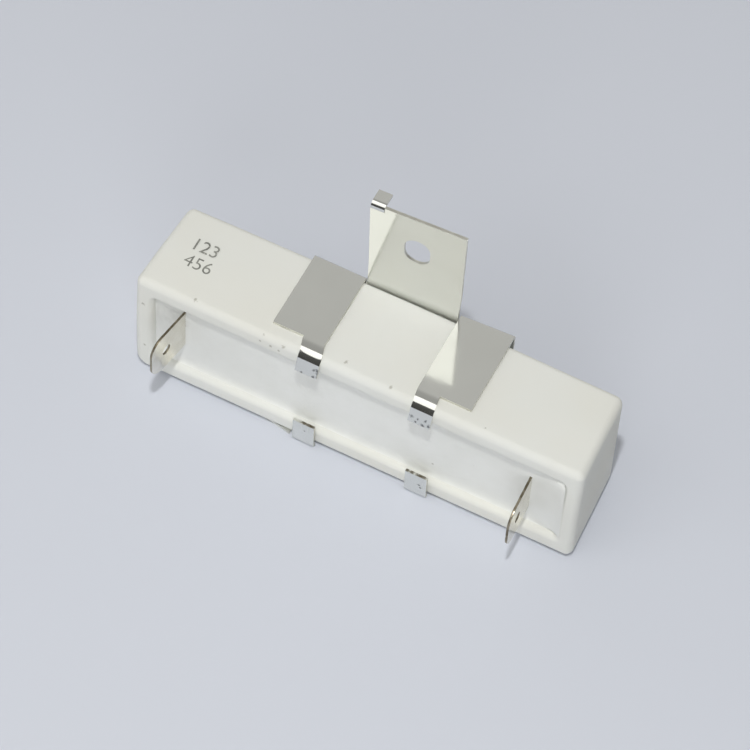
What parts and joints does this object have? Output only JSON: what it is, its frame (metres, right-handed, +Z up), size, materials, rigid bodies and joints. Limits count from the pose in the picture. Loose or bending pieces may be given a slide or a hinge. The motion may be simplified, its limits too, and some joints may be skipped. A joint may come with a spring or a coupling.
{
  "type": "cement resistor",
  "caption": "Cement-filled ceramic trough resistor with tab terminals and a folded sheet bracket whose slotted ear fastens it upright.",
  "frame": {"origin": "under the middle of the part's box, on the table plane that the bottom wings stand on", "axes": "+Z up, +X along the case's length, -Y towards the open front and the terminals, +Y towards the back plate"},
  "size_m": [0.09, 0.0318, 0.0524],
  "materials": {
    "case_ceramic": "satin white pressed ceramic",
    "cement": "smooth pale cement",
    "core_ceramic": "bare ceramic rod",
    "resistance_wire": "drawn resistance wire",
    "cap_steel": "plated steel",
    "tinned_strip": "tinned strip",
    "bracket_zinc": "semi-gloss zinc-plated sheet"
  },
  "bodies": {
    "root": {"ceramic_case": "case_ceramic", "cement_fill": "cement", "core_rod": "core_ceramic", "resistance_winding": "resistance_wire", "end_cap_left": "cap_steel", "end_cap_right": "cap_steel", "terminal_left": "tinned_strip", "terminal_right": "tinned_strip", "mounting_bracket": "bracket_zinc"}
  },
  "joints": []
}
